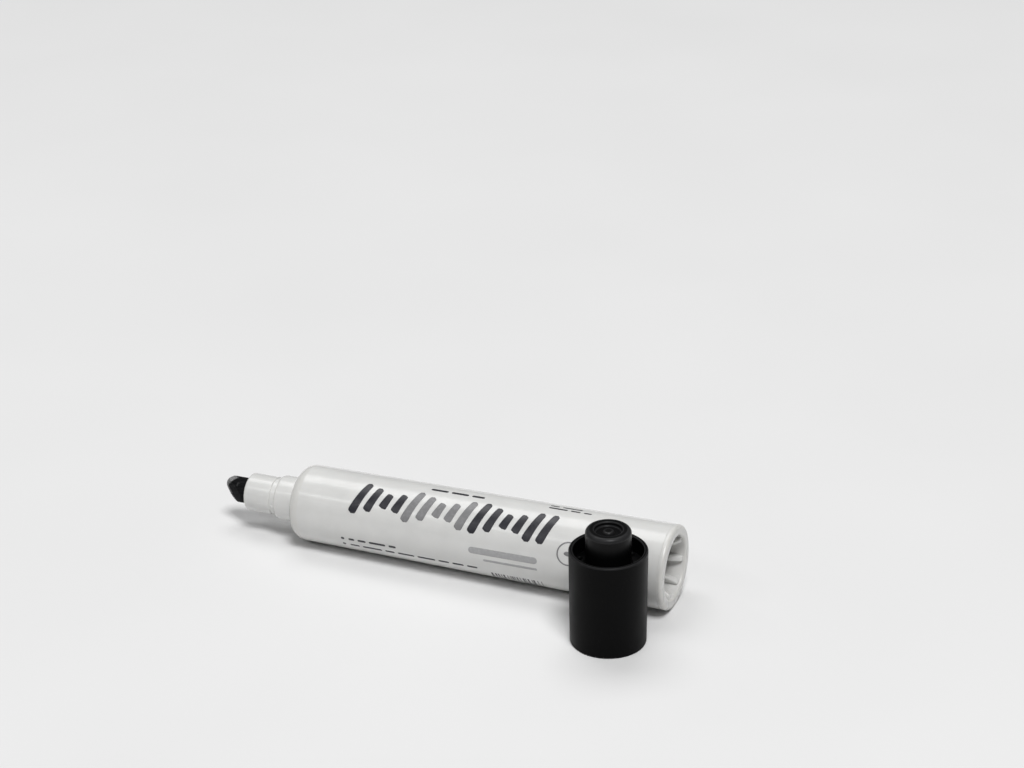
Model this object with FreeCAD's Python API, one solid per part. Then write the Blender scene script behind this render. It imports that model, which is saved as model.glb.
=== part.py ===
import FreeCAD, Part
import math
import os

# Whiteboard marker, uncapped and lying on its side, with its cap standing on
# its open end beside it. Millimetres, +Z up, nose towards -X. The row's origin
# is the middle of the bounding box, at the bottom.

# ---- barrel, measured along the marker's own axis from the shoulder circle
BODY_LENGTH = 83.0            # shoulder circle to rear face, rear plug included
SHOULDER_R = 8.28             # the barrel is drafted: thinner at the nose end
REAR_R = 9.0
SHOULDER_ROUND = 2.85
SHOULDER_DEPTH = 2.9
COLLAR_R = 4.875
COLLAR_FRONT = 7.6            # how far the collar reaches ahead of the shoulder
SPIGOT_R = 4.175              # nose cylinder that the cap's inner seal grips
SPIGOT_FRONT = 15.25
SPIGOT_ROOT_R = 3.98          # relief behind the sealing land, where the pips stand
SPIGOT_ROOT_FRONT = 8.95
PIP_COUNT = 4                 # small snap pips round the root of the nose
PIP_R = 0.55
PIP_PROUD = 0.2
PIP_FROM_COLLAR = 0.55
PIP_ANGLE = 8.0
CAVITY_FRONT_R = 7.0
CAVITY_REAR_R = 7.3
CAVITY_FLOOR = -0.5
NIB_THROAT_R = 3.3
NIB_SEAT_LENGTH = 6.25
BARREL_RIB_COUNT = 6          # keep the reservoir off the wall, so air can pass
BARREL_RIB_THICK = 0.8
BARREL_RIB_LENGTH = 62.0
VENT_COUNT = 6                # air grooves in the nib's seat
VENT_WIDTH = 0.9
VENT_DEPTH = 0.4
SEAM_BEVEL = 0.12

# ---- rear plug: a cup pressed into the barrel, which holds the posted cap
PLUG_COLLAR = 1.2             # length of the plug that stays outside the barrel
PLUG_INSERT = 11.6
PLUG_INSERT_R = 7.53
PLUG_INSERT_WALL = 0.9
PLUG_SEAT_R = 7.55
PLUG_SEAT_LENGTH = 12.0
SOCKET_MOUTH_R = 6.75
SOCKET_FLOOR_R = 6.45
SOCKET_DEPTH = 10.6
SOCKET_FLOOR_THICK = 1.2
SOCKET_RIB_COUNT = 8
SOCKET_RIB_THICK = 1.3
SOCKET_RIB_START = 0.6        # how far inside the rim the ribs begin
SOCKET_RIB_LEAD = 2.6
SOCKET_RIB_R = 4.72           # the ribs' crests, which grip the cap's post
SOCKET_RIB_ANGLE = -12.0
STOP_RING_R = 4.6
STOP_RING_WALL = 1.0
STOP_RING_LENGTH = 6.8

# ---- nib and ink reservoir
NIB_R = 2.8
NIB_PLAY = 0.04
NIB_TIP = 21.117              # how far the writing edge reaches ahead
NIB_TAIL = 8.0
NIB_EDGE_LEAN = 24.3          # degrees that the writing edge leans off square
NIB_EDGE_TOP = 1.2            # height of its foremost point over the rod's axis
NIB_CORNER_BACK = 1.2         # how far back its round top corner ends
NIB_CORNER_MID = (0.26, 2.1)  # a point on that corner: how far back, how high
NIB_HEEL_TOP = -2.0           # where the edge's lower corner is cut away
NIB_HEEL_BACK = 2.5
NIB_EDGE_HALF = 0.8           # half the blade's thickness at the writing edge
NIB_TAPER_LENGTH = 4.4
NIB_POINT = 2.4
CORE_R = 6.3
FILM_THICK = 0.2
RESERVOIR_FRONT = 0.4
RESERVOIR_PLAY = 0.2

# ---- cap, measured up from its mouth
CAP_HEIGHT = 20.9
CAP_MOUTH_R = 7.8
CAP_RIM_R = 8.0
CAP_RIM_INNER_R = 7.17
CAP_MOUTH_INNER_R = 6.95
WEB_BOTTOM = 16.0
WEB_TOP = 17.5
WEB_HOLE_R = 5.12
CAP_VENT_COUNT = 6
CAP_VENT_R = 0.65
CAP_VENT_CIRCLE_R = 6.2
SEAL_MOUTH = 6.4
SEAL_R = 5.1
SEAL_BORE_R = 4.21
SEAL_LIP_R = 5.35
SEAL_LIP_THICK = 0.8
POST_R = 4.66
POST_TOP = 25.5
TIP_CHAMBER_R = 3.6
TIP_CHAMBER_TOP = 23.4
DISH_R = 2.83
DISH_DEPTH = 0.9
GATE_R = 1.2                  # low dome in the middle of the dish, where the mould was fed
GATE_HEIGHT = 0.55

# ---- where the cap stands beside the marker
CAP_FROM_REAR = 8.5
CAP_FROM_AXIS = 17.15

X_AXIS = FreeCAD.Vector(1, 0, 0)
Y_AXIS = FreeCAD.Vector(0, 1, 0)
Z_AXIS = FreeCAD.Vector(0, 0, 1)
CENTRE = FreeCAD.Vector(0, 0, 0)

DRAFT = (REAR_R - SHOULDER_R) / BODY_LENGTH
LEAN = math.degrees(math.atan(DRAFT))
SEAM_X = BODY_LENGTH - PLUG_COLLAR
PLUG_FRONT_X = SEAM_X - PLUG_INSERT
SOCKET_FLOOR_X = BODY_LENGTH - SOCKET_DEPTH
CUP_UNDERSIDE_X = SOCKET_FLOOR_X - SOCKET_FLOOR_THICK
STOP_RING_X = CUP_UNDERSIDE_X - STOP_RING_LENGTH
RESERVOIR_REAR = STOP_RING_X - RESERVOIR_PLAY
NIB_SEAT_X = NIB_SEAT_LENGTH - SPIGOT_FRONT
NIB_HOLE_R = NIB_R + NIB_PLAY


def outer_radius(x):
    """The drafted barrel's outer radius at a distance x behind the shoulder circle."""
    return SHOULDER_R + DRAFT * x


def turned(points, axis):
    """A solid of revolution: a closed outline of (distance along the axis, radius)."""
    if axis == X_AXIS:
        corners = [FreeCAD.Vector(along, 0, radius) for along, radius in points]
    else:
        corners = [FreeCAD.Vector(radius, 0, along) for along, radius in points]
    outline = Part.makePolygon(corners + corners[:1])
    return Part.Face(outline).revolve(CENTRE, axis, 360)


def rim_edges(shape, axis, along, radius):
    """The circular edges of a turned solid at one station and radius."""
    found = []
    for edge in shape.Edges:
        if not isinstance(edge.Curve, Part.Circle):
            continue
        station = edge.Curve.Center.dot(axis)
        if abs(station - along) < 1e-4 and abs(edge.Curve.Radius - radius) < 1e-4:
            found.append(edge)
    return found


def rounded_rims(shape, axis, rims):
    """Round each listed rim, given as (distance along the axis, radius, fillet)."""
    for along, radius, fillet in rims:
        shape = shape.makeFillet(fillet, rim_edges(shape, axis, along, radius))
    return shape


def ring_of(shape, count, first_angle, axis):
    """Copies of a shape, evenly spaced round the axis."""
    copies = []
    for index in range(count):
        one = shape.copy()
        one.rotate(CENTRE, axis, first_angle + 360.0 * index / count)
        copies.append(one)
    return copies


def fin(points, thickness):
    """A flat rib in the plane of the axis: an outline of (x, radius), made thick in Y."""
    corners = [FreeCAD.Vector(x, -thickness / 2, radius) for x, radius in points]
    outline = Part.makePolygon(corners + corners[:1])
    return Part.Face(outline).extrude(Y_AXIS * thickness)


def make_barrel():
    """Drafted tube with the stepped nose, nib seat, air grooves, ribs and snap pips."""
    outline = [
        (-SPIGOT_FRONT, NIB_HOLE_R),
        (-SPIGOT_FRONT, SPIGOT_R),
        (-SPIGOT_ROOT_FRONT, SPIGOT_R),
        (-SPIGOT_ROOT_FRONT, SPIGOT_ROOT_R),
        (-COLLAR_FRONT, SPIGOT_ROOT_R),
        (-COLLAR_FRONT, COLLAR_R),
        (-SHOULDER_DEPTH, COLLAR_R),
        (-SHOULDER_DEPTH, outer_radius(-SHOULDER_DEPTH)),
        (SEAM_X, outer_radius(SEAM_X)),
        (SEAM_X, PLUG_SEAT_R),
        (SEAM_X - PLUG_SEAT_LENGTH, PLUG_SEAT_R),
        (SEAM_X - PLUG_SEAT_LENGTH, CAVITY_REAR_R),
        (CAVITY_FLOOR, CAVITY_FRONT_R),
        (CAVITY_FLOOR, NIB_THROAT_R),
        (NIB_SEAT_X, NIB_THROAT_R),
        (NIB_SEAT_X, NIB_HOLE_R),
    ]
    barrel = rounded_rims(turned(outline, X_AXIS), X_AXIS, [
        (-SHOULDER_DEPTH, outer_radius(-SHOULDER_DEPTH), SHOULDER_ROUND),
        (-SHOULDER_DEPTH, COLLAR_R, 0.25),
        (-COLLAR_FRONT, COLLAR_R, 0.45),
        (-COLLAR_FRONT, SPIGOT_ROOT_R, 0.2),
        (-SPIGOT_FRONT, SPIGOT_R, 0.6),
        (CAVITY_FLOOR, CAVITY_FRONT_R, 1.5),
        (SEAM_X, outer_radius(SEAM_X), SEAM_BEVEL),
    ])
    rib_root = CAVITY_FRONT_R + 0.35
    rib_crest = CORE_R + FILM_THICK + 0.05
    rib_outline = [
        (CAVITY_FLOOR - 0.2, rib_crest),
        (CAVITY_FLOOR - 0.2, rib_root),
        (BARREL_RIB_LENGTH, rib_root),
        (BARREL_RIB_LENGTH, rib_crest + 0.3),
        (BARREL_RIB_LENGTH - 1.0, rib_crest),
    ]
    rib = fin(rib_outline, BARREL_RIB_THICK)
    barrel = barrel.fuse(ring_of(rib, BARREL_RIB_COUNT, 0.0, X_AXIS))
    pip = Part.makeSphere(PIP_R)
    pip_centre_r = SPIGOT_R + PIP_PROUD - PIP_R
    pip.translate(FreeCAD.Vector(-COLLAR_FRONT - PIP_FROM_COLLAR, 0, pip_centre_r))
    barrel = barrel.fuse(ring_of(pip, PIP_COUNT, PIP_ANGLE, X_AXIS))
    groove = Part.makeBox(
        NIB_SEAT_LENGTH + 2.0, VENT_WIDTH, NIB_R + VENT_DEPTH,
        FreeCAD.Vector(-SPIGOT_FRONT - 1.0, -VENT_WIDTH / 2, 0),
    )
    return barrel.cut(ring_of(groove, VENT_COUNT, 0.0, X_AXIS)).removeSplitter()


def make_rear_plug():
    """Pressed-in cup: a flush collar, a deep socket with gripping ribs, a stop ring."""
    insert_inner_r = PLUG_INSERT_R - PLUG_INSERT_WALL
    outline = [
        (STOP_RING_X, STOP_RING_R - STOP_RING_WALL),
        (STOP_RING_X, STOP_RING_R),
        (CUP_UNDERSIDE_X, STOP_RING_R),
        (CUP_UNDERSIDE_X, insert_inner_r),
        (PLUG_FRONT_X, insert_inner_r),
        (PLUG_FRONT_X, PLUG_INSERT_R),
        (SEAM_X, PLUG_INSERT_R),
        (SEAM_X, outer_radius(SEAM_X)),
        (BODY_LENGTH, REAR_R),
        (BODY_LENGTH, SOCKET_MOUTH_R),
        (SOCKET_FLOOR_X, SOCKET_FLOOR_R),
        (SOCKET_FLOOR_X, 0),
        (CUP_UNDERSIDE_X, 0),
        (CUP_UNDERSIDE_X, STOP_RING_R - STOP_RING_WALL),
    ]
    plug = rounded_rims(turned(outline, X_AXIS), X_AXIS, [
        (BODY_LENGTH, REAR_R, 0.75),
        (BODY_LENGTH, SOCKET_MOUTH_R, 0.5),
        (SEAM_X, outer_radius(SEAM_X), SEAM_BEVEL),
        (PLUG_FRONT_X, PLUG_INSERT_R, 0.3),
    ])
    start_x = BODY_LENGTH - SOCKET_RIB_START
    lead_x = start_x - SOCKET_RIB_LEAD
    root_r = SOCKET_MOUTH_R + 0.3
    rib_outline = [
        (start_x, root_r),
        (start_x, SOCKET_MOUTH_R - 0.6),
        (lead_x, SOCKET_RIB_R),
        (SOCKET_FLOOR_X - 0.3, SOCKET_RIB_R),
        (SOCKET_FLOOR_X - 0.3, root_r),
    ]
    rib = fin(rib_outline, SOCKET_RIB_THICK)
    crests = [
        edge for edge in rib.Edges
        if abs(edge.tangentAt(edge.FirstParameter).y) < 0.5
        and edge.CenterOfMass.z < SOCKET_MOUTH_R - 0.3
        and edge.CenterOfMass.x > SOCKET_FLOOR_X
    ]
    rib = rib.makeFillet(0.4, crests)
    ribs = ring_of(rib, SOCKET_RIB_COUNT, SOCKET_RIB_ANGLE, X_AXIS)
    return plug.fuse(ribs).removeSplitter()


def make_nib():
    """Bonded-fibre rod: a chisel in front, its writing edge leaning back going down."""
    rod = turned([
        (-NIB_TIP, 0),
        (-NIB_TIP, NIB_R),
        (NIB_TAIL - NIB_POINT, NIB_R),
        (NIB_TAIL, NIB_R * 0.35),
        (NIB_TAIL, 0),
    ], X_AXIS)
    wedge_corners = [
        FreeCAD.Vector(-NIB_TIP - 1, -NIB_EDGE_HALF, -NIB_R - 1),
        FreeCAD.Vector(-NIB_TIP, -NIB_EDGE_HALF, -NIB_R - 1),
        FreeCAD.Vector(-NIB_TIP + NIB_TAPER_LENGTH, -NIB_R - 0.1, -NIB_R - 1),
        FreeCAD.Vector(NIB_TAIL + 1, -NIB_R - 0.1, -NIB_R - 1),
        FreeCAD.Vector(NIB_TAIL + 1, NIB_R + 0.1, -NIB_R - 1),
        FreeCAD.Vector(-NIB_TIP + NIB_TAPER_LENGTH, NIB_R + 0.1, -NIB_R - 1),
        FreeCAD.Vector(-NIB_TIP, NIB_EDGE_HALF, -NIB_R - 1),
        FreeCAD.Vector(-NIB_TIP - 1, NIB_EDGE_HALF, -NIB_R - 1),
    ]
    wedge_outline = Part.makePolygon(wedge_corners + wedge_corners[:1])
    wedge = Part.Face(wedge_outline).extrude(Z_AXIS * (2 * NIB_R + 2))
    slant = math.tan(math.radians(NIB_EDGE_LEAN))
    aside = -NIB_R - 1
    foremost = FreeCAD.Vector(-NIB_TIP, aside, NIB_EDGE_TOP)
    corner_end = FreeCAD.Vector(-NIB_TIP + NIB_CORNER_BACK, aside, NIB_R)
    corner_mid = FreeCAD.Vector(-NIB_TIP + NIB_CORNER_MID[0], aside, NIB_CORNER_MID[1])
    round_corner = Part.Arc(corner_end, corner_mid, foremost).toShape()
    straights = Part.makePolygon([
        foremost,
        FreeCAD.Vector(-NIB_TIP + (NIB_EDGE_TOP - NIB_HEEL_TOP) * slant, aside, NIB_HEEL_TOP),
        FreeCAD.Vector(-NIB_TIP + NIB_HEEL_BACK, aside, -NIB_R),
        FreeCAD.Vector(-NIB_TIP + NIB_HEEL_BACK, aside, -NIB_R - 1),
        FreeCAD.Vector(NIB_TAIL + 1, aside, -NIB_R - 1),
        FreeCAD.Vector(NIB_TAIL + 1, aside, NIB_R + 1),
        FreeCAD.Vector(-NIB_TIP + NIB_CORNER_BACK, aside, NIB_R + 1),
        corner_end,
    ])
    side_outline = Part.Wire([round_corner] + straights.Edges)
    side = Part.Face(side_outline).extrude(Y_AXIS * (2 * NIB_R + 2))
    return rod.common(wedge).common(side).removeSplitter()


def make_reservoir_core():
    """Bonded-fibre bundle that holds the ink, with a pocket for the nib's tail."""
    core = turned([
        (RESERVOIR_FRONT, 0),
        (RESERVOIR_FRONT, CORE_R),
        (RESERVOIR_REAR, CORE_R),
        (RESERVOIR_REAR, 0),
    ], X_AXIS)
    return core.cut(make_nib())


def make_reservoir_film():
    """Thin plastic sleeve round the fibre bundle, open at both ends."""
    return turned([
        (RESERVOIR_FRONT, CORE_R),
        (RESERVOIR_FRONT, CORE_R + FILM_THICK),
        (RESERVOIR_REAR, CORE_R + FILM_THICK),
        (RESERVOIR_REAR, CORE_R),
    ], X_AXIS)


def make_cap_shell():
    """Outer sleeve with a perforated web, which carries the inner seal."""
    shell = rounded_rims(turned([
        (0, CAP_MOUTH_INNER_R),
        (0, CAP_MOUTH_R),
        (CAP_HEIGHT, CAP_RIM_R),
        (CAP_HEIGHT, CAP_RIM_INNER_R),
        (WEB_TOP, CAP_RIM_INNER_R - 0.07),
        (WEB_TOP, WEB_HOLE_R),
        (WEB_BOTTOM, WEB_HOLE_R),
        (WEB_BOTTOM, CAP_MOUTH_INNER_R + 0.1),
    ], Z_AXIS), Z_AXIS, [
        (CAP_HEIGHT, CAP_RIM_R, 0.3),
        (CAP_HEIGHT, CAP_RIM_INNER_R, 0.2),
        (0, CAP_MOUTH_R, 0.25),
        (0, CAP_MOUTH_INNER_R, 0.2),
    ])
    vent = Part.makeCylinder(
        CAP_VENT_R, WEB_TOP - WEB_BOTTOM + 1.0,
        FreeCAD.Vector(CAP_VENT_CIRCLE_R, 0, WEB_BOTTOM - 0.5),
    )
    return shell.cut(ring_of(vent, CAP_VENT_COUNT, 0.0, Z_AXIS))


def make_cap_seal():
    """Inner thimble: it seals on the nose below, and its closed end is the post."""
    seal = rounded_rims(turned([
        (SEAL_MOUTH, SEAL_BORE_R),
        (SEAL_MOUTH, SEAL_R),
        (WEB_BOTTOM - SEAL_LIP_THICK, SEAL_R),
        (WEB_BOTTOM - SEAL_LIP_THICK, SEAL_LIP_R),
        (WEB_BOTTOM, SEAL_LIP_R),
        (WEB_BOTTOM, SEAL_R),
        (WEB_TOP, SEAL_R),
        (WEB_TOP + 0.4, POST_R),
        (POST_TOP, POST_R),
        (POST_TOP, DISH_R),
        (POST_TOP - DISH_DEPTH, DISH_R),
        (POST_TOP - DISH_DEPTH, GATE_R),
        (POST_TOP - DISH_DEPTH + GATE_HEIGHT, GATE_R),
        (POST_TOP - DISH_DEPTH + GATE_HEIGHT, 0),
        (TIP_CHAMBER_TOP, 0),
        (TIP_CHAMBER_TOP, TIP_CHAMBER_R),
        (WEB_BOTTOM + 0.2, TIP_CHAMBER_R),
        (WEB_BOTTOM - 0.5, SEAL_BORE_R),
    ], Z_AXIS), Z_AXIS, [
        (POST_TOP, POST_R, 0.85),
        (POST_TOP, DISH_R, 0.25),
        (POST_TOP - DISH_DEPTH, DISH_R, 0.3),
        (POST_TOP - DISH_DEPTH + GATE_HEIGHT, GATE_R, 0.5),
        (SEAL_MOUTH, SEAL_BORE_R, 0.35),
        (SEAL_MOUTH, SEAL_R, 0.2),
    ])
    return seal


marker_pieces = {
    "barrel": make_barrel(),
    "rear_plug": make_rear_plug(),
    "nib": make_nib(),
    "reservoir_core": make_reservoir_core(),
    "reservoir_film": make_reservoir_film(),
}
cap_pieces = {
    "cap_shell": make_cap_shell(),
    "cap_seal": make_cap_seal(),
}

# The drafted barrel rests along its lowest line, so its axis dips at the nose.
axis_height = SHOULDER_R * math.cos(math.radians(LEAN))
for piece in marker_pieces.values():
    piece.rotate(CENTRE, Y_AXIS, -LEAN)
    piece.translate(FreeCAD.Vector(0, 0, axis_height))
for piece in cap_pieces.values():
    piece.translate(FreeCAD.Vector(BODY_LENGTH - CAP_FROM_REAR, -CAP_FROM_AXIS, 0))

pieces = {**marker_pieces, **cap_pieces}
extent = Part.makeCompound(list(pieces.values())).optimalBoundingBox(False)
to_origin = FreeCAD.Vector(-extent.Center.x, -extent.Center.y, -extent.ZMin)
os.makedirs("parts", exist_ok=True)
for name, piece in pieces.items():
    piece.translate(to_origin)
    piece.exportStep(f"parts/{name}.step")
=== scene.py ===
import math

import bmesh
import bpy
import numpy as np
from mathutils import Matrix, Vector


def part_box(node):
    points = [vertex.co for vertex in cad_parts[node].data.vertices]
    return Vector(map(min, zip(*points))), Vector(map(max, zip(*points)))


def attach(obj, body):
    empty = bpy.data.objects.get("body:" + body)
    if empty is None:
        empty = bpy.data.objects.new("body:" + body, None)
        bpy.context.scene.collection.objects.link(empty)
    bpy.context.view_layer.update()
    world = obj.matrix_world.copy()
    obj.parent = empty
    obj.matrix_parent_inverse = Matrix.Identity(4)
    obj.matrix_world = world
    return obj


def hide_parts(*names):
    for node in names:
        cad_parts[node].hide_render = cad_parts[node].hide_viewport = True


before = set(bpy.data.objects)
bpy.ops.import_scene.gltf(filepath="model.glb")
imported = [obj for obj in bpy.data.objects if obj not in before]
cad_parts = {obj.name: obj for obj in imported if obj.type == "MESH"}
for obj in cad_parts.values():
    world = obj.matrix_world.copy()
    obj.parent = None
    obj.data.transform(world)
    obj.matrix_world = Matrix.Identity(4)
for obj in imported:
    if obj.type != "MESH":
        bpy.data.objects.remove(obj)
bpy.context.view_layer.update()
MM = 0.001


# ---------------------------------------------------------------------------
# Barrel: one moulding in glossy white polypropylene, drafted so that it is
# thinner at the nose, with a rounded shoulder, a collar and the nose spigot
# that the cap slides over. It lies on its lowest line, so its axis dips.
# ---------------------------------------------------------------------------
BODY_LENGTH = 83.0 * MM
SHOULDER_R = 8.28 * MM
REAR_R = 9.0 * MM
PLUG_COLLAR = 1.2 * MM
SPIGOT_R = 4.175 * MM
NIB_HOLE_R = 2.84 * MM
DRAFT = (REAR_R - SHOULDER_R) / BODY_LENGTH
LEAN = math.atan(DRAFT)
SEAM = BODY_LENGTH - PLUG_COLLAR
REAR_EDGE_ROUND = 0.75 * MM

barrel_low, barrel_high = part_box("barrel")
plug_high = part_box("rear_plug")[1]
AXIS_Y = (barrel_low.y + barrel_high.y) / 2
rear_overhang = (REAR_R - REAR_EDGE_ROUND) * math.sin(LEAN)
SHOULDER_X = plug_high.x - BODY_LENGTH - rear_overhang
SHOULDER_Z = SHOULDER_R * math.cos(LEAN)


def outer_radius(along):
    """Radius of the drafted barrel: it grows in a straight line behind the shoulder."""
    return SHOULDER_R + DRAFT * along


def lying(points):
    """Points of the marker's own axis frame, leaned about Y and moved to where it lies."""
    x, y, z = points[..., 0], points[..., 1], points[..., 2]
    across = x * math.cos(LEAN) - z * math.sin(LEAN) + SHOULDER_X
    up = x * math.sin(LEAN) + z * math.cos(LEAN) + SHOULDER_Z
    return np.stack([across, y + AXIS_Y, up], axis=-1)


ARC_STEPS = 9
ARC_MARGIN = 0.05 * MM


def rounded_outline(corners, closed):
    """An outline of (distance along the axis, radius, rounding) in mm, as points and rim marks.

    Each corner is an arc tangent to its two sides: its centre lies on the bisector at
    rounding / sin(half the corner), and its points turn evenly from one tangent point to
    the other. A mark of 1 is on an arc, and 0 on the straight stretches between.
    """
    spots = np.array([corner[:2] for corner in corners], float) * MM
    points, marks = [], []
    for index, corner in enumerate(corners):
        spot = spots[index]
        end = index in (0, len(corners) - 1) and not closed
        if end or corner[2] == 0:
            points.append(spot[None])
            marks.append(np.zeros(1))
            continue
        back = spots[index - 1] - spot
        ahead = spots[(index + 1) % len(spots)] - spot
        back, ahead = back / np.linalg.norm(back), ahead / np.linalg.norm(ahead)
        half = math.acos(np.clip(back @ ahead, -1, 1)) / 2
        radius = corner[2] * MM
        reach = radius / math.tan(half)
        bisector = (back + ahead) / np.linalg.norm(back + ahead)
        centre = spot + bisector * radius / math.sin(half)
        first, last = spot + back * reach - centre, spot + ahead * reach - centre
        turn = math.pi - 2 * half
        t = np.linspace(0, 1, ARC_STEPS)[:, None]
        arc = (np.sin((1 - t) * turn) * first + np.sin(t * turn) * last) / math.sin(turn)
        margin = min(0.25 * radius, ARC_MARGIN)
        before = spot + back * (reach + margin)
        after = spot + ahead * (reach + margin)
        points.append(np.vstack([before[None], centre + arc, after[None]]))
        marks.append(np.concatenate([[0], np.ones(ARC_STEPS), [0]]))
    return np.vstack(points), np.concatenate(marks)


def turned(outline, segments=256, shape=None):
    """The outline carried once round the X axis: (x, -r sin a, r cos a) on a grid.

    shape, where given, returns a new radius from the grids of x, r and the angle a.
    """
    angle = np.linspace(0, 2 * math.pi, segments, endpoint=False)
    along = np.repeat(outline[:, :1], segments, axis=1)
    radius = np.repeat(outline[:, 1:], segments, axis=1)
    around = np.repeat(angle[None], len(outline), axis=0)
    if shape is not None:
        radius = shape(along, radius, around)
    return np.stack([along, -radius * np.sin(around), radius * np.cos(around)], axis=-1)


def grid_faces(rows, columns, wrap_rows, wrap_columns, first):
    """Quads between neighbouring grid points, joined round where a direction wraps."""
    number = first + np.arange(rows * columns).reshape(rows, columns)
    below = np.roll(number, -1, axis=0) if wrap_rows else number[1:]
    here = number if wrap_rows else number[:-1]
    if wrap_columns:
        here_next, below_next = np.roll(here, -1, axis=1), np.roll(below, -1, axis=1)
    else:
        here_next, below_next = here[:, 1:], below[:, 1:]
        here, below = here[:, :-1], below[:, :-1]
    return np.stack([here, below, below_next, here_next], axis=-1).reshape(-1, 4)


MERGE_WITHIN = 2e-7
SLIVER_WITHIN = 1e-8


def make_piece(name, grids, material, body, node=None):
    """One object from closed grids of points: merged at seams and poles, faces outwards.

    Each grid is (points, wraps along its rows, wraps along its columns, rim marks or None).
    """
    points, faces, marks, first = [], [], [], 0
    for grid, wrap_rows, wrap_columns, rim in grids:
        rows, columns = grid.shape[:2]
        points.append(grid.reshape(-1, 3))
        faces.append(grid_faces(rows, columns, wrap_rows, wrap_columns, first))
        marks.append(np.zeros(rows * columns) if rim is None else rim.ravel())
        first += rows * columns
    mesh = bpy.data.meshes.new(name)
    mesh.from_pydata(np.concatenate(points).tolist(), [], np.concatenate(faces).tolist())
    rim_mark = mesh.attributes.new("rim", "FLOAT", "POINT")
    rim_mark.data.foreach_set("value", np.concatenate(marks).astype(np.float32))
    work = bmesh.new()
    work.from_mesh(mesh)
    bmesh.ops.remove_doubles(work, verts=work.verts, dist=MERGE_WITHIN)
    bmesh.ops.dissolve_degenerate(work, dist=SLIVER_WITHIN, edges=work.edges)
    bmesh.ops.recalc_face_normals(work, faces=work.faces)
    work.to_mesh(mesh)
    work.free()
    mesh.polygons.foreach_set("use_smooth", np.ones(len(mesh.polygons), bool))
    mesh.materials.append(material)
    piece = bpy.data.objects.new(name, mesh)
    bpy.context.scene.collection.objects.link(piece)
    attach(piece, body)
    if node is not None:
        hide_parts(node)


PULSE_SIDE = 0.12 * MM


def pulses(around, count, half_width, radius):
    """1 inside each of count evenly spaced strips along the axis, with soft sides, else 0."""
    step = 2 * math.pi / count
    nearest = (around + step / 2) % step - step / 2
    distance = np.abs(nearest) * radius
    t = np.clip((half_width + PULSE_SIDE / 2 - distance) / PULSE_SIDE, 0, 1)
    return t * t * (3 - 2 * t)


SEAT_BACK = -8.9 * MM
SEAT_WITHIN_R = 3.0 * MM
VENT_COUNT = 6
VENT_DEPTH = 0.4 * MM
VENT_HALF = 0.45 * MM
RIB_CREST_R = 6.55 * MM
RIB_HALF = 0.4 * MM
RIB_COUNT = 6
RIB_START = -0.45 * MM
RIB_END = 62.0 * MM
BORE_WITHIN_R = 7.4 * MM


def barrel_shape(along, radius, around):
    """Six air grooves cut in the nib's seat, and six ribs raised inside the tube."""
    seat = (radius < SEAT_WITHIN_R) & (along < SEAT_BACK)
    grooved = radius + VENT_DEPTH * pulses(around, VENT_COUNT, VENT_HALF, NIB_HOLE_R)
    tube = (radius > RIB_CREST_R) & (radius < BORE_WITHIN_R) & (along > RIB_START)
    tube &= along < RIB_END
    ribbed = radius - (radius - RIB_CREST_R) * pulses(around, RIB_COUNT, RIB_HALF, RIB_CREST_R)
    return np.where(seat, grooved, np.where(tube, ribbed, radius))


def plastic_noise(tree, coordinates, scale, detail, squeeze=(1, 1, 1)):
    """Noise read from object coordinates, squeezed along an axis where it runs in streaks."""
    mapping = tree.nodes.new("ShaderNodeMapping")
    mapping.inputs["Scale"].default_value = squeeze
    noise = tree.nodes.new("ShaderNodeTexNoise")
    noise.inputs["Scale"].default_value = scale
    noise.inputs["Detail"].default_value = detail
    tree.links.new(coordinates, mapping.inputs["Vector"])
    tree.links.new(mapping.outputs["Vector"], noise.inputs["Vector"])
    return noise.outputs["Fac"]


def remap(tree, value, low, high, to_low=0.0, to_high=1.0):
    """A clamped straight-line change of range."""
    node = tree.nodes.new("ShaderNodeMapRange")
    node.inputs["From Min"].default_value = low
    node.inputs["From Max"].default_value = high
    node.inputs["To Min"].default_value = to_low
    node.inputs["To Max"].default_value = to_high
    tree.links.new(value, node.inputs["Value"])
    return node.outputs["Result"]


def combine(tree, operation, first, second):
    """Two values joined by one arithmetic operation; either may be a plain number."""
    node = tree.nodes.new("ShaderNodeMath")
    node.operation = operation
    for socket, value in zip(node.inputs, (first, second)):
        if isinstance(value, (int, float)):
            socket.default_value = value
        else:
            tree.links.new(value, socket)
    return node.outputs["Value"]


def blend_colours(tree, mask, first, second):
    """One colour where the mask is 0 and another where it is 1."""
    node = tree.nodes.new("ShaderNodeMix")
    node.data_type = "RGBA"
    tree.links.new(mask, node.inputs["Factor"])
    for socket, colour in (("A", first), ("B", second)):
        target = [s for s in node.inputs if s.name == socket and s.type == "RGBA"][0]
        if isinstance(colour, tuple):
            target.default_value = (*colour, 1)
        else:
            tree.links.new(colour, target)
    return [s for s in node.outputs if s.type == "RGBA"][0]


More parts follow.
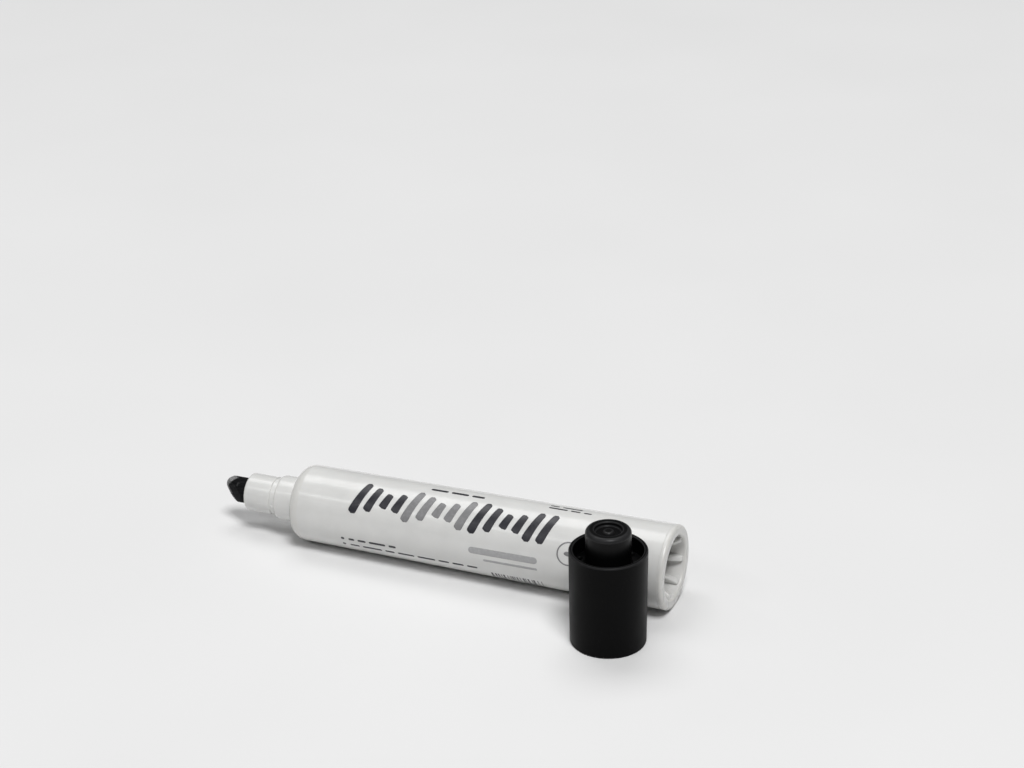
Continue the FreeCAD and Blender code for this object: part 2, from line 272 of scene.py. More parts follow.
def moulded_skin_group():
    """Node group for moulded plastic, shared by every plastic piece.

    Mottle is broad unevenness of the surface, Scuffs are fine handling marks along and
    across the piece, Dust is scattered specks, and Grain is the height of the tool's texture.
    """
    group = bpy.data.node_groups.new("moulded_skin", "ShaderNodeTree")
    face = group.interface
    face.new_socket("Coordinates", in_out="INPUT", socket_type="NodeSocketVector")
    for name in ("Mottle", "Scuffs", "Dust", "Grain"):
        face.new_socket(name, in_out="OUTPUT", socket_type="NodeSocketFloat")
    start = group.nodes.new("NodeGroupInput")
    end = group.nodes.new("NodeGroupOutput")
    where = start.outputs["Coordinates"]
    mottle = remap(group, plastic_noise(group, where, 170, 3), 0.3, 0.7)
    long_marks = plastic_noise(group, where, 900, 2, (0.12, 1, 1))
    cross_marks = plastic_noise(group, where, 700, 2, (1, 0.15, 0.15))
    scuffs = combine(
        group, "MAXIMUM",
        remap(group, long_marks, 0.64, 0.74),
        remap(group, cross_marks, 0.66, 0.76),
    )
    patches = remap(group, plastic_noise(group, where, 90, 2), 0.45, 0.65)
    scuffs = combine(group, "MULTIPLY", scuffs, patches)
    specks = remap(group, plastic_noise(group, where, 2600, 1), 0.74, 0.8)
    grain = plastic_noise(group, where, 5200, 2)
    for name, value in zip(("Mottle", "Scuffs", "Dust", "Grain"), (mottle, scuffs, specks, grain)):
        group.links.new(value, end.inputs[name])
    return group


moulded_skin = moulded_skin_group()


def new_material(name):
    """An empty node material: its tree, its shader and its object coordinates."""
    material = bpy.data.materials.new(name)
    material.use_nodes = True
    tree = material.node_tree
    shader = tree.nodes["Principled BSDF"]
    coordinates = tree.nodes.new("ShaderNodeTexCoord").outputs["Object"]
    return material, tree, shader, coordinates


def bump_from(tree, shader, height, strength, distance):
    """A height fed through a Bump node to the shader's normal."""
    bump = tree.nodes.new("ShaderNodeBump")
    bump.inputs["Strength"].default_value = strength
    bump.inputs["Distance"].default_value = distance
    tree.links.new(height, bump.inputs["Height"])
    tree.links.new(bump.outputs["Normal"], shader.inputs["Normal"])


def plastic_material(name, colour, worn, gloss, scuffed, grain, dust=None, soft_light=0.0,
                     glint=0.5):
    """Moulded plastic: a colour with mottle, rims in a second colour that is wear on white pieces and a
    painted highlight on black ones, and fine scuffs.

    gloss is the roughness of the polished skin, and scuffed that of the handling marks.
    grain is the strength of the tool's texture, and dust the colour of the scattered specks.
    soft_light is how much light passes a little way through the plastic before it comes out.
    glint is how strongly the skin mirrors: a half is bare plastic.
    """
    material, tree, shader, coordinates = new_material(name)
    skin = tree.nodes.new("ShaderNodeGroup")
    skin.node_tree = moulded_skin
    tree.links.new(coordinates, skin.inputs["Coordinates"])
    rim = tree.nodes.new("ShaderNodeAttribute")
    rim.attribute_name = "rim"
    shade = tuple(channel * 0.93 for channel in colour)
    mottled = blend_colours(tree, skin.outputs["Mottle"], colour, shade)
    # Mask of the rims' second colour: darker wear on the white pieces, a painted highlight on the black
    # cap and thimble.
    uneven_rim_wear_and_highlight = remap(tree, skin.outputs["Mottle"], 0, 1, 0.35, 1)
    rim_wear_and_highlight = combine(tree, "MULTIPLY", rim.outputs["Fac"], uneven_rim_wear_and_highlight)
    surface = blend_colours(tree, rim_wear_and_highlight, mottled, worn)
    if dust is not None:
        surface = blend_colours(tree, skin.outputs["Dust"], surface, dust)
    tree.links.new(surface, shader.inputs["Base Color"])
    uneven = remap(tree, skin.outputs["Mottle"], 0, 1, gloss * 0.88, gloss * 1.12)
    rough = combine(tree, "MAXIMUM", uneven, remap(tree, skin.outputs["Scuffs"], 0, 1, 0, scuffed))
    tree.links.new(rough, shader.inputs["Roughness"])
    bump_from(tree, shader, skin.outputs["Grain"], grain, 0.02 * MM)
    shader.inputs["IOR"].default_value = 1.49
    shader.inputs["Specular IOR Level"].default_value = glint
    shader.inputs["Subsurface Weight"].default_value = soft_light
    shader.inputs["Subsurface Radius"].default_value = (1.0, 0.95, 0.9)
    shader.inputs["Subsurface Scale"].default_value = 0.8 * MM
    return material


white_plastic = plastic_material(
    "white_barrel_plastic", (0.71, 0.71, 0.697), (0.66, 0.655, 0.632), 0.18, 0.4, 0.1,
    soft_light=0.25)

to_mm = 1 / MM
seam_place = SEAM * to_mm
seam_radius = outer_radius(SEAM) * to_mm
barrel_corners = [
    (-15.25, 2.84, 0.12), (-15.25, 4.175, 0.6),          # the spigot's front face
    (-9.0, 4.175, 0.12), (-8.9, 3.98, 0.12),             # the end of its sealing land
    (-7.6, 3.98, 0.35), (-7.6, 4.875, 0.45),             # the relief, up to the collar
    (-2.9, 4.875, 0.5), (-2.9, 8.255, 2.85),             # the collar, and the round shoulder
    (seam_place, seam_radius, 0.06), (seam_place, 7.55, 0.05),  # the rear edge, at the plug
    (69.8, 7.55, 0.05), (69.8, 7.3, 0.05),               # the plug's seat
    (62.1, 7.27, 0), (61.9, 7.27, 0),                    # where the ribs inside end
    (-0.4, 7.0, 0.4), (-0.5, 3.3, 0.2),                  # the floor of the bore
    (-9.0, 3.3, 0.1), (-9.0, 2.84, 0.08),                # the throat behind the nib's seat
]
barrel_outline, barrel_rims = rounded_outline(barrel_corners, True)
barrel_grid = turned(barrel_outline, shape=barrel_shape)
rim_grid = np.repeat(barrel_rims[:, None], barrel_grid.shape[1], axis=1)

PIP_R = 0.55 * MM
PIP_PROUD = 0.2 * MM
PIP_ALONG = -8.15 * MM
PIP_ANGLES = np.radians((98.0, 278.0))    # two, opposite each other


def pip(angle):
    """A small snap pip: a ball centred under the spigot's skin, so a low dome stands out."""
    tilt = np.linspace(0, math.pi, 17)
    turn = np.linspace(0, 2 * math.pi, 24, endpoint=False)
    tilt, turn = np.meshgrid(tilt, turn, indexing="ij")
    x = PIP_ALONG + PIP_R * np.sin(tilt) * np.cos(turn)
    sideways = PIP_R * np.sin(tilt) * np.sin(turn)
    out = SPIGOT_R + PIP_PROUD - PIP_R + PIP_R * np.cos(tilt)
    y = -out * math.sin(angle) - sideways * math.cos(angle)
    z = out * math.cos(angle) - sideways * math.sin(angle)
    return np.stack([x, y, z], axis=-1)


make_piece(
    "barrel_moulding",
    [(lying(barrel_grid), True, True, rim_grid)]
    + [(lying(pip(angle)), False, True, None) for angle in PIP_ANGLES],
    white_plastic, "marker", "barrel")


# ---------------------------------------------------------------------------
# Nib: a rod of bonded fibre soaked in black ink, ground to a chisel. Its
# writing edge leans back as it goes down, and is worn grey and fuzzy.
# ---------------------------------------------------------------------------
NIB_R = 2.8 * MM
NIB_TIP = -21.1 * MM
NIB_TAIL = 8.0 * MM
NIB_TAPER = 4.4 * MM
NIB_EDGE_HALF = 0.8 * MM
NIB_EDGE_ROUND = 0.55 * MM
NIB_CORNER_ROUND = 2.4 * MM
NIB_TOP_CUT = 1.2
NIB_HEEL_CUT = 0.5
NIB_SLANT = math.tan(math.radians(24.0))
NIB_BARE = 8.0 * MM
NIB_SLIDE = 9.0 * MM
NIB_POINT = 2.4 * MM
NIB_POINT_CLOSES = 0.65
NIB_WORN_START = 1.25
NIB_WORN_WIDTH = 1.4 * MM


def writing_edge(z):
    """How far the edge lies back at a height z: a straight slant, rounded off at both corners.

    A corner is a quarter circle, cut back by a factor that is more at the top than at the heel.
    """
    past_corner = np.clip(np.abs(z) - (NIB_R - NIB_CORNER_ROUND), 0, NIB_CORNER_ROUND)
    corner = NIB_CORNER_ROUND - np.sqrt(NIB_CORNER_ROUND ** 2 - past_corner ** 2)
    return (NIB_R - z) * NIB_SLANT + corner * np.where(z > 0, NIB_TOP_CUT, NIB_HEEL_CUT)


def nib_grid():
    """Rings from the writing edge back to the tail.

    A ring is a circle whose sides are cut flat at half the blade's thickness. Near the
    edge that thickness closes like the end of an ellipse, and each ring slides forward
    by its height, so that the first one is the slanted edge itself.
    """
    back = np.concatenate([
        NIB_EDGE_ROUND * (1 - np.cos(np.linspace(0, math.pi / 2, 12))),
        np.linspace(NIB_EDGE_ROUND, NIB_TAPER, 26)[1:],
        np.linspace(NIB_TAPER, NIB_BARE, 18)[1:],
        np.linspace(NIB_BARE, NIB_TAIL - NIB_TIP, 30)[1:],
    ])
    turn = np.linspace(0, 2 * math.pi, 120, endpoint=False)
    back, turn = np.meshgrid(back, turn, indexing="ij")
    half = NIB_EDGE_HALF + (NIB_R - NIB_EDGE_HALF) * np.clip(back / NIB_TAPER, 0, 1)
    closing = np.sqrt(np.clip(1 - (1 - np.clip(back / NIB_EDGE_ROUND, 0, 1)) ** 2, 0, 1))
    half = half * closing
    y = np.clip(NIB_R * np.cos(turn), -half, half)
    z = NIB_R * np.sin(turn)
    edge = writing_edge(z)
    foremost = writing_edge(np.linspace(-NIB_R, NIB_R, 400)).min()
    reach = np.clip(1 - back / NIB_SLIDE, 0, 1)
    x = NIB_TIP + back + (edge - foremost) * reach
    point = np.clip((x - (NIB_TAIL - NIB_POINT)) / NIB_POINT, 0, 1)
    y, z = y * (1 - NIB_POINT_CLOSES * point), z * (1 - NIB_POINT_CLOSES * point)
    worn = np.clip(NIB_WORN_START - back / NIB_WORN_WIDTH, 0, 1)
    return np.stack([x, y, z], axis=-1), worn


def felt_material():
    """Black felt: fibres as fine streaks along the rod, and a grey dry fuzz where it is worn."""
    material, tree, shader, coordinates = new_material("inked_felt")
    streaks = plastic_noise(tree, coordinates, 3200, 3, (0.14, 1, 1))
    fuzz = plastic_noise(tree, coordinates, 2400, 4)
    patches = plastic_noise(tree, coordinates, 650, 2)
    worn = tree.nodes.new("ShaderNodeAttribute")
    worn.attribute_name = "rim"
    inked = blend_colours(
        tree, remap(tree, streaks, 0.4, 0.7), (0.003, 0.003, 0.0035), (0.011, 0.011, 0.012))
    dry = blend_colours(
        tree, remap(tree, fuzz, 0.35, 0.7), (0.12, 0.12, 0.121), (0.34, 0.34, 0.34))
    ragged = combine(tree, "ADD", worn.outputs["Fac"], remap(tree, patches, 0.3, 0.7, -0.3, 0.3))
    surface = blend_colours(tree, remap(tree, ragged, 0.25, 0.7), inked, dry)
    tree.links.new(surface, shader.inputs["Base Color"])
    shader.inputs["Roughness"].default_value = 0.86
    shader.inputs["Sheen Weight"].default_value = 0.05
    shader.inputs["Sheen Roughness"].default_value = 0.5
    shader.inputs["Specular IOR Level"].default_value = 0.06
    bump_from(tree, shader, combine(tree, "ADD", streaks, fuzz), 0.9, 0.09 * MM)
    return material


nib_points, nib_worn = nib_grid()
tail_centre = nib_points[-1:].copy()
tail_centre[..., 1:] = 0
nib_points = np.concatenate([nib_points, tail_centre])
nib_worn = np.concatenate([nib_worn, nib_worn[-1:]])
make_piece(
    "chisel_nib", [(lying(nib_points), False, True, nib_worn)],
    felt_material(), "marker", "nib")


# ---------------------------------------------------------------------------
# Reservoir: a bundle of bonded fibre soaked in ink, wrapped in a clear film.
# Both are sealed inside the barrel, between the nib's tail and the plug, so
# their plain shapes stay, with fibre and film finishes.
# ---------------------------------------------------------------------------
def fibre_material():
    """Inked fibre: long dark streaks that run with the bundle, with a soft sheen."""
    material, tree, shader, coordinates = new_material("inked_fibre_bundle")
    streaks = plastic_noise(tree, coordinates, 2600, 3, (0.05, 1, 1))
    surface = blend_colours(tree, remap(tree, streaks, 0.35, 0.7), (0.02, 0.02, 0.022), (0.1, 0.1, 0.11))
    tree.links.new(surface, shader.inputs["Base Color"])
    shader.inputs["Roughness"].default_value = 0.8
    bump_from(tree, shader, streaks, 0.6, 0.05 * MM)
    return material


def film_material():
    """Thin cloudy film with a few lengthwise wrinkles."""
    material, tree, shader, coordinates = new_material("reservoir_wrap_film")
    wrinkles = plastic_noise(tree, coordinates, 500, 2, (0.1, 1, 1))
    surface = blend_colours(tree, remap(tree, wrinkles, 0.3, 0.7), (0.7, 0.72, 0.74), (0.8, 0.82, 0.84))
    tree.links.new(surface, shader.inputs["Base Color"])
    shader.inputs["Roughness"].default_value = 0.2
    bump_from(tree, shader, wrinkles, 0.4, 0.05 * MM)
    return material


for node, finish in (("reservoir_core", fibre_material()), ("reservoir_film", film_material())):
    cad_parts[node].data.materials.clear()
    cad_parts[node].data.materials.append(finish)


# ---------------------------------------------------------------------------
# Rear plug: a white cup pressed into the barrel. Its collar ends the barrel
# in a rounded rim, and eight ribs in its socket grip the parked cap's post.
# ---------------------------------------------------------------------------
SOCKET_MOUTH_R = 6.75 * MM
SOCKET_DEPTH = 10.6 * MM
SOCKET_RIB_COUNT = 8
SOCKET_RIB_HALF = 0.65 * MM
SOCKET_RIB_R = 4.72 * MM
SOCKET_RIB_START = 0.6 * MM
SOCKET_RIB_LEAD = 2.6 * MM
SOCKET_RIB_TURN = math.radians(-12.0)
SOCKET_RIB_NOSE = 0.3 * MM
SOCKET_RIB_SUNK = 0.3 * MM
SOCKET_RIB_STEP = 0.6 * MM
SOCKET_RIB_BULGE = 0.08
SOCKET_RIB_SQUARE = 0.4
SOCKET_RIB_ROOT = 0.12
SOCKET_ROOT_R = 7.0 * MM

plug_corners = [
    (72.4, 0, 0), (72.4, 6.45, 0.35),                    # the socket's floor
    (83.0, 6.75, 0.5), (83.0, 9.0, 0.75),                # its mouth, and the rounded rim
    (seam_place, seam_radius, 0.06), (seam_place, 7.53, 0.05),  # the collar's front
    (70.2, 7.53, 0.3), (70.2, 6.63, 0.1),                # the insert's front edge
    (71.2, 6.63, 0.1), (71.2, 4.6, 0.1),                 # the floor, on the reservoir's side
    (64.4, 4.6, 0.1), (64.4, 3.6, 0.1),                  # the stop ring for the reservoir
    (71.2, 3.6, 0.1), (71.2, 0, 0),
]


def socket_rib(angle):
    """One gripping rib: a squarish dome of a section carried along the socket.

    The section is a superellipse about the wall's line. Its height is the wall's radius
    less the crest's, which slopes in from the mouth and then runs level, and both height
    and width close as a quarter ellipse at the rib's rounded start.
    """
    start = BODY_LENGTH - SOCKET_RIB_START
    floor = BODY_LENGTH - SOCKET_DEPTH - SOCKET_RIB_SUNK
    lead = SOCKET_RIB_NOSE * (1 - np.cos(np.linspace(0, math.pi / 2, 12)))
    depth = np.concatenate([lead, np.linspace(SOCKET_RIB_NOSE, start - floor, 40)[1:]])
    section = np.linspace(0, 2 * math.pi, 40, endpoint=False)
    depth, section = np.meshgrid(depth, section, indexing="ij")
    slope = np.clip(depth / SOCKET_RIB_LEAD, 0, 1)
    slope = slope + SOCKET_RIB_BULGE * np.sin(slope * math.pi)
    start_crest = SOCKET_MOUTH_R - SOCKET_RIB_STEP
    crest = start_crest - (start_crest - SOCKET_RIB_R) * slope
    nose = np.clip(depth / SOCKET_RIB_NOSE, 0, 1)
    closing = np.sqrt(np.clip(1 - (1 - nose) ** 2, 0, 1))
    height = (SOCKET_ROOT_R - crest) * closing
    cosine, sine = np.cos(section), np.sin(section)
    side = SOCKET_RIB_HALF * closing * np.sign(cosine) * np.abs(cosine) ** SOCKET_RIB_SQUARE
    inward = np.sign(sine) * np.abs(sine) ** SOCKET_RIB_SQUARE
    inward = np.where(inward > 0, inward, SOCKET_RIB_ROOT * inward)
    radius = SOCKET_ROOT_R - height * inward
    x = start - depth
    y = -radius * math.sin(angle) - side * math.cos(angle)
    z = radius * math.cos(angle) - side * math.sin(angle)
    grid = np.stack([x, y, z], axis=-1)
    end = np.repeat(grid[-1:].mean(axis=1, keepdims=True), grid.shape[1], axis=1)
    return np.concatenate([grid, end])


plug_plastic = plastic_material(
    "white_plug_plastic", (0.71, 0.708, 0.692), (0.66, 0.655, 0.63), 0.26, 0.45, 0.13,
    soft_light=0.25)
plug_outline, plug_rims = rounded_outline(plug_corners, False)
plug_turned = turned(plug_outline)
plug_rim_grid = np.repeat(plug_rims[:, None], plug_turned.shape[1], axis=1)
rib_angles = SOCKET_RIB_TURN + 2 * math.pi * np.arange(SOCKET_RIB_COUNT) / SOCKET_RIB_COUNT
make_piece(
    "rear_socket_plug",
    [(lying(plug_turned), False, True, plug_rim_grid)]
    + [(lying(socket_rib(angle)), False, True, None) for angle in rib_angles],
    plug_plastic, "marker", "rear_plug")


# ---------------------------------------------------------------------------
# Cap: a black sleeve with a perforated web, and the inner thimble pressed
# into it, whose closed end is the dished post. Satin black polypropylene,
# with paler rims that are a painted highlight. It stands on its open end.
# ---------------------------------------------------------------------------
sleeve_low, sleeve_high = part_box("cap_shell")
CAP_X = (sleeve_low.x + sleeve_high.x) / 2
CAP_Y = (sleeve_low.y + sleeve_high.y) / 2


def standing(points):
    """Points turned about X, tipped so that their axis is upright, and moved to the cap's place."""
    x, y, z = points[..., 0], points[..., 1], points[..., 2]
    return np.stack([CAP_X - z, CAP_Y + y, sleeve_low.z + x], axis=-1)


AIR_HOLE_COUNT = 6
AIR_HOLE_R = 0.65 * MM
AIR_HOLE_CIRCLE_R = 6.2 * MM
WEB_INNER_R = 5.12 * MM
WEB_OUTER_R = 7.1 * MM


def vented_web(bottom, top):
    """The web between sleeve and thimble, as one ring of plates round six air holes.

    Each plate's grid runs from its hole's circle out to the plate's own outline, a sixth
    of the ring, at evenly spread places; the top, the bottom and the hole's wall are joined.
    """
    count = 16
    half_turn = math.pi / AIR_HOLE_COUNT
    side = np.linspace(-1, 1, count, endpoint=False)
    ones = np.ones(count)
    angle = np.concatenate([side * half_turn, ones * half_turn, -side * half_turn, -ones * half_turn])
    middle = (WEB_INNER_R + WEB_OUTER_R) / 2
    span = (WEB_OUTER_R - WEB_INNER_R) / 2
    radius = middle + span * np.concatenate([ones, -side, -ones, side])
    edge = np.stack([-radius * np.sin(angle), radius * np.cos(angle)], axis=-1)
    centre = np.array([0, AIR_HOLE_CIRCLE_R])
    towards = edge - centre
    rim = centre + AIR_HOLE_R * towards / np.linalg.norm(towards, axis=1, keepdims=True)
    plate = rim + (edge - rim) * np.linspace(0, 1, 7)[:, None, None]
    sides = []
    for height, part in ((top, plate[::-1]), (bottom, plate)):
        level = np.full((*part.shape[:2], 1), height)
        sides.append(np.concatenate([level, part], axis=-1))
    loop = np.concatenate(sides)
    plates = []
    for turn in 2 * math.pi * np.arange(AIR_HOLE_COUNT) / AIR_HOLE_COUNT:
        y = loop[..., 1] * math.cos(turn) - loop[..., 2] * math.sin(turn)
        z = loop[..., 1] * math.sin(turn) + loop[..., 2] * math.cos(turn)
        plates.append(np.stack([loop[..., 0], y, z], axis=-1))
    return plates


CAP_DUST = (0.012, 0.012, 0.0115)
# The second, paler colour is a painted highlight along the sleeve's rounded rims.
cap_plastic = plastic_material(
    "black_cap_plastic", (0.002, 0.002, 0.0022), (0.03, 0.03, 0.031), 0.42, 0.5, 0.35,
    dust=CAP_DUST, glint=0.07)
sleeve_corners = [
    (0, 6.95, 0.2), (0, 7.8, 0.25),                      # the mouth that it stands on
    (20.9, 8.0, 0.3), (20.9, 7.17, 0.2),                 # the upper rim
    (17.5, 7.1, 0.02), (16.0, 7.08, 0.02),               # where the web joins the wall
]
sleeve_outline, sleeve_rims = rounded_outline(sleeve_corners, True)
sleeve_grid = turned(sleeve_outline, 224)
sleeve_rim_grid = np.repeat(sleeve_rims[:, None], sleeve_grid.shape[1], axis=1)
make_piece(
    "cap_sleeve",
    [(standing(sleeve_grid), True, True, sleeve_rim_grid)]
    + [(standing(plate), True, True, None) for plate in vented_web(16.0 * MM, 17.5 * MM)],
    cap_plastic, "cap", "cap_shell")

# The second, paler colour is a painted highlight along the thimble's rounded rims and the post's edge.
seal_plastic = plastic_material(
    "black_seal_plastic", (0.0025, 0.0025, 0.0027), (0.026, 0.026, 0.027), 0.33, 0.46, 0.25,
    dust=CAP_DUST, glint=0.15)
seal_corners = [
    (25.15, 0, 0), (25.15, 1.2, 0.5),                    # the low dome in the dish
    (24.6, 1.2, 0.02), (24.6, 2.83, 0.3),                # the dish
    (25.5, 2.83, 0.25), (25.5, 4.66, 0.85),              # the post's top
    (17.9, 4.66, 0.1), (17.5, 5.1, 0.04), (16.0, 5.1, 0.03),  # its foot, in the web's hole
    (16.0, 5.35, 0.05), (15.2, 5.35, 0.05), (15.2, 5.1, 0.05),  # the flange under the web
    (6.4, 5.1, 0.2), (6.4, 4.21, 0.35),                  # the thimble's mouth
    (15.5, 4.21, 0.1), (16.2, 3.6, 0.1),                 # the bore that seals on the spigot
    (23.4, 3.6, 0.8), (23.4, 0, 0),                      # the room for the nib
]
seal_outline, seal_rims = rounded_outline(seal_corners, False)
seal_grid = turned(seal_outline, 192)
seal_rim_grid = np.repeat(seal_rims[:, None], seal_grid.shape[1], axis=1)
make_piece(
    "cap_post_thimble", [(standing(seal_grid), False, True, seal_rim_grid)],
    seal_plastic, "cap", "cap_seal")


# ---------------------------------------------------------------------------
# Printing: pad-printed ink on the barrel, as thin raised films. Plain marks
# only: a hatch of chisel strokes, two grey rules, rows of dashes, fine bars
# and a ring with a drop.
# ---------------------------------------------------------------------------
INK_PROUD = 0.014 * MM
INK_SUNK = 0.03 * MM
INK_COLUMN = 0.35 * MM
INK_OPENS = 0.1 * MM


def on_barrel(along, arc, lift):
    """A flat drawing wrapped on the barrel: arc is the distance round from the top line."""
    radius = outer_radius(along)
    angle = arc / radius
    out = radius + lift
    return lying(np.stack([along, -out * np.sin(angle), out * np.cos(angle)], axis=-1))


def ink_stroke(along, arc, width, columns=None):
    """A closed film of ink along a drawn line, in mm: (place along, arc round, width) arrays.

    Points step across the line by its normal, from edge to edge; the film's upper side
    stands out of the barrel by a flattened ellipse, and its lower side lies inside.
    """
    along, arc, width = (np.asarray(v, float) * MM for v in (along, arc, width))
    run = np.stack([np.gradient(along), np.gradient(arc)])
    run = run / np.maximum(np.linalg.norm(run, axis=0), 1e-12)
    columns = columns or max(4, int(width.max() / INK_COLUMN) + 2)
    section = np.linspace(0, 2 * math.pi, 2 * columns, endpoint=False)
    across = np.cos(section)[None] * width[:, None] / 2
    edge = np.minimum(1, 4 * np.abs(np.sin(section)))[None]
    open_width = np.minimum(1, width / INK_OPENS)[:, None]
    lift = np.where(np.sin(section) > 0, INK_PROUD, -INK_SUNK)[None] * edge * open_width
    s = along[:, None] - run[1][:, None] * across
    a = arc[:, None] + run[0][:, None] * across
    return (on_barrel(s, a, lift), False, True, None)


def dash(start, end, arc, thick):
    """A straight rounded stroke along the barrel."""
    count = max(10, int((end - start) / 0.5) + 10)
    place = (1 - np.cos(np.linspace(0, math.pi, count))) / 2
    along = start + (end - start) * place
    from_end = np.minimum(along - start, end - along)
    inside = np.clip(from_end / (thick / 2), 0, 1)
    return ink_stroke(along, np.full(count, arc), thick * np.sqrt(1 - (1 - inside) ** 2))


def bar(along, first_arc, last_arc, thick):
    """A straight square-ended stroke round the barrel."""
    count = max(8, int(abs(last_arc - first_arc) / 0.35) + 2)
    width = np.full(count + 2, thick)
    width[[0, -1]] = 0
    arc = np.linspace(first_arc, last_arc, count)
    arc = np.concatenate([arc[:1], arc, arc[-1:]])
    arc[0], arc[-1] = arc[1] - 1e-3, arc[-2] + 1e-3
    return ink_stroke(np.full(count + 2, along), arc, width)


HATCH_ARC = 5.6
HATCH_PITCH = 3.05
HATCH_HEIGHT = 7.6
HATCH_THICK = 1.75
HATCH_LEAN = 0.36
HATCH_FLARE = 0.12
HATCH_MEAN = 0.72
HATCH_SWELL = 0.28
HATCH_SWELL_EVERY = 4.5


def chisel_hatch(start, count):
    """A row of leaning strokes, as a chisel nib draws them, whose heights swell and fade.

    A stroke's height follows a cosine along the row. Its width flares a little towards one
    end and closes at both as a superellipse.
    """
    strokes = []
    for index in range(count):
        swell = HATCH_SWELL * math.cos(2 * math.pi * index / HATCH_SWELL_EVERY)
        half = HATCH_HEIGHT / 2 * (HATCH_MEAN + swell)
        t = np.linspace(-1, 1, 26)
        closing = np.sqrt(np.clip(1 - np.abs(t) ** 14, 0, 1))
        along = start + index * HATCH_PITCH + t * -half * HATCH_LEAN
        width = HATCH_THICK * (1 + HATCH_FLARE * t) * closing
        strokes.append(ink_stroke(along, HATCH_ARC + t * half, width))
    return strokes


DROP_FULL = 1.3


def ring(along, arc, radius, thick):
    """A circle drawn as one stroke that meets itself."""
    turn = np.linspace(0, 2 * math.pi, 49)[:-1]
    s, a = along + radius * np.cos(turn), arc + radius * np.sin(turn)
    width = np.full(len(turn) + 2, thick)
    points = ink_stroke(np.append(s, s[:2]), np.append(a, a[:2]), width, 4)[0]
    return (points[1:-1], True, True, None)


def drop(start, end, arc, thick):
    """A drop along the barrel: its width is the root of t times the root of 1 - t."""
    count = 24
    t, rest = np.linspace(0, 1, count), np.linspace(1, 0, count)
    width = thick * np.sqrt(t) * np.sqrt(rest) * DROP_FULL
    return ink_stroke(np.linspace(start, end, count), np.full(count, arc), width)


DASH_LENGTHS = (1.1, 4.6)
DASH_GAP = 0.75
DASH_LEAST = 1.0


def dashes(start, end, arc, thick, seed):
    """A row of short dashes of uneven length, with even gaps."""
    draw = np.random.default_rng(seed)
    strokes = []
    place = start
    while place < end - DASH_LEAST:
        length = min(draw.uniform(*DASH_LENGTHS), end - place)
        strokes.append(dash(place, place + length, arc, thick))
        place += length + DASH_GAP
    return strokes


def ink_material(name, colour, paler):
    """Printing ink: near even colour, a little thin in places, with a dull gloss."""
    material, tree, shader, coordinates = new_material(name)
    thin = remap(tree, plastic_noise(tree, coordinates, 1500, 3), 0.45, 0.75)
    tree.links.new(blend_colours(tree, thin, colour, paler), shader.inputs["Base Color"])
    rough = remap(tree, plastic_noise(tree, coordinates, 260, 2), 0.3, 0.7, 0.3, 0.42)
    tree.links.new(rough, shader.inputs["Roughness"])
    return material


dark_ink = ink_material("dark_print_ink", (0.02, 0.02, 0.026), (0.035, 0.035, 0.042))
grey_ink = ink_material("grey_print_ink", (0.2, 0.2, 0.205), (0.25, 0.25, 0.255))
pale_ink = ink_material("pale_grey_print_ink", (0.36, 0.36, 0.365), (0.42, 0.42, 0.425))

BAR_COUNT = 18
bar_places = 44.4 + np.cumsum(np.random.default_rng(21).choice([0.45, 0.62, 0.85], BAR_COUNT))
bar_widths = np.random.default_rng(22).choice([0.18, 0.3, 0.42], BAR_COUNT)

# Places along the barrel are from the shoulder, and distances round it from its top line, in mm.
prints = {
    "print_hatch_front": (dark_ink, chisel_hatch(14.0, 4)),
    "print_hatch_middle": (grey_ink, chisel_hatch(26.2, 5)),
    "print_hatch_rear": (dark_ink, chisel_hatch(41.5, 6)),
    "print_grey_rules": (pale_ink, [dash(40.2, 55.7, 12.9, 1.5), dash(43.5, 55.7, 14.9, 0.6)]),
    "print_dash_rows": (dark_ink, [
        dash(10.2, 11.0, 15.8, 0.75), *dashes(12.0, 23.2, 15.8, 0.62, 3),
        dash(10.2, 11.0, 17.7, 0.75), *dashes(12.0, 42.0, 17.7, 0.62, 8),
        *dashes(28.5, 41.0, 0.2, 0.7, 5),
        *dashes(55.0, 64.5, -0.4, 0.5, 9), *dashes(55.0, 63.0, -1.5, 0.5, 12),
    ]),
    "print_bars": (dark_ink, [
        bar(place, 18.6, 22.4, thick) for place, thick in zip(bar_places, bar_widths)
    ]),
    "print_drop_ring": (grey_ink, [ring(62.4, 10.2, 2.4, 0.32), drop(61.4, 63.6, 10.2, 1.5)]),
}
for name, (ink, strokes) in prints.items():
    make_piece(name, strokes, ink, "marker")


# ---------------------------------------------------------------------------
# Stage: a plain pale tabletop, a large soft box above and in front, a long thin
# one that draws the line of light on the barrel, one behind, and a dim surround.
# ---------------------------------------------------------------------------
FLOOR_REACH = 9.0
FLOOR_POINTS = 25


def make_floor():
    """A flat square on the plane that the marker rests on."""
    side = np.linspace(-FLOOR_REACH, FLOOR_REACH, FLOOR_POINTS)
    x, y = np.meshgrid(side, side, indexing="ij")
    mesh = bpy.data.meshes.new("tabletop")
    points = np.stack([x, y, np.zeros_like(x)], axis=-1).reshape(-1, 3)
    faces = grid_faces(FLOOR_POINTS, FLOOR_POINTS, False, False, 0)[:, ::-1]
    mesh.from_pydata(points.tolist(), [], faces.tolist())
    material, tree, shader, coordinates = new_material("pale_tabletop")
    tone = remap(tree, plastic_noise(tree, coordinates, 12, 2), 0.3, 0.7)
    surface = blend_colours(tree, tone, (0.77, 0.77, 0.77), (0.79, 0.79, 0.79))
    tree.links.new(surface, shader.inputs["Base Color"])
    shader.inputs["Roughness"].default_value = 0.8
    shader.inputs["Specular IOR Level"].default_value = 0.1
    mesh.materials.append(material)
    floor = bpy.data.objects.new("tabletop", mesh)
    bpy.context.scene.collection.objects.link(floor)


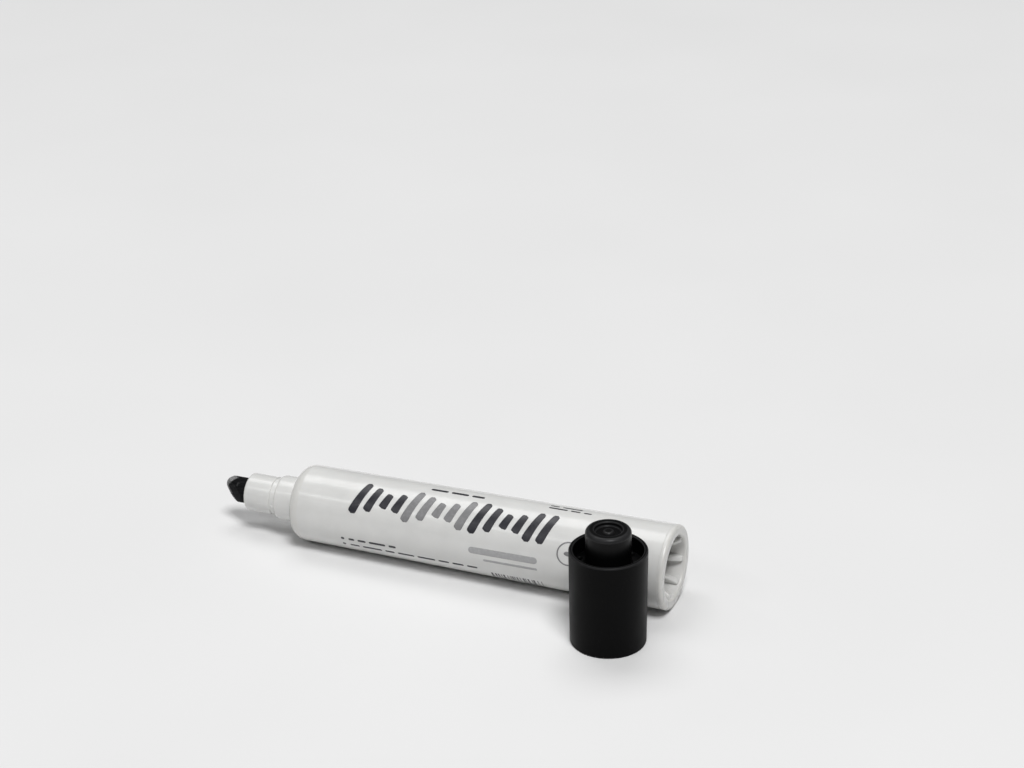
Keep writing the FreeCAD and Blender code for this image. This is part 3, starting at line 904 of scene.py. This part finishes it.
def soft_box(name, place, size, power):
    """A rectangular area light whose -Z axis points from its place to the origin."""
    light = bpy.data.lights.new(name, "AREA")
    light.shape = "RECTANGLE"
    light.size, light.size_y = size
    light.energy = power
    lamp = bpy.data.objects.new(name, light)
    bpy.context.scene.collection.objects.link(lamp)
    backward = np.array(place, float)
    backward = backward / np.linalg.norm(backward)
    sideways = np.cross((0, 0, 1), backward)
    sideways = sideways / np.linalg.norm(sideways)
    upward = np.cross(backward, sideways)
    turn = Matrix(np.stack([sideways, upward, backward], axis=1).tolist()).to_4x4()
    lamp.matrix_world = Matrix.Translation(place) @ turn


SURROUND_GREY = 0.9
SURROUND_STRENGTH = 0.08


def make_surround():
    """An even, dim grey surround, so that the soft boxes shape the marker."""
    world = bpy.data.worlds.new("dim_surround")
    world.use_nodes = True
    background = world.node_tree.nodes["Background"]
    background.inputs["Color"].default_value = (*[SURROUND_GREY] * 3, 1)
    background.inputs["Strength"].default_value = SURROUND_STRENGTH
    bpy.context.scene.world = world


make_floor()
make_surround()
soft_box("key_soft_box", place=(0.75, -0.95, 2.6), size=(0.9, 0.9), power=58)
soft_box("line_soft_box", place=(-0.7, -1.5, 1.7), size=(2.6, 0.1), power=7)
soft_box("top_soft_box", place=(-0.6, 0.9, 2.4), size=(2.0, 1.2), power=25)
bpy.context.scene.view_settings.view_transform = "Standard"


# ---------------------------------------------------------------------------
# Camera: looks across the marker from the cap's side, from above and from a
# little beyond its rear end, through a long lens.
# ---------------------------------------------------------------------------
VIEW_TURN = math.radians(-22.61)
VIEW_DROP = math.radians(25.98)
VIEW_ROLL = math.radians(-0.962)
FROM_REAR_FOOT = np.array([139.0, -419.8, 266.6]) * MM
LENS_LENGTH = 86.95
SENSOR_WIDTH = 36.0
NEAREST_SEEN = 0.01

camera_data = bpy.data.cameras.new("camera")
camera_data.lens = LENS_LENGTH
camera_data.sensor_width = SENSOR_WIDTH
camera_data.clip_start = NEAREST_SEEN
camera = bpy.data.objects.new("camera", camera_data)
bpy.context.scene.collection.objects.link(camera)
forward = np.array([
    math.sin(VIEW_TURN) * math.cos(VIEW_DROP),
    math.cos(VIEW_TURN) * math.cos(VIEW_DROP),
    -math.sin(VIEW_DROP),
])
level = np.array([math.cos(VIEW_TURN), -math.sin(VIEW_TURN), 0])
raised = np.cross(level, forward)
right = math.cos(VIEW_ROLL) * level + math.sin(VIEW_ROLL) * raised
upwards = -math.sin(VIEW_ROLL) * level + math.cos(VIEW_ROLL) * raised
rear_foot = np.array([SHOULDER_X + BODY_LENGTH, AXIS_Y, 0])
turn = Matrix(np.stack([right, upwards, -forward], axis=1).tolist()).to_4x4()
camera.matrix_world = Matrix.Translation(rear_foot + FROM_REAR_FOOT) @ turn
bpy.context.scene.camera = camera
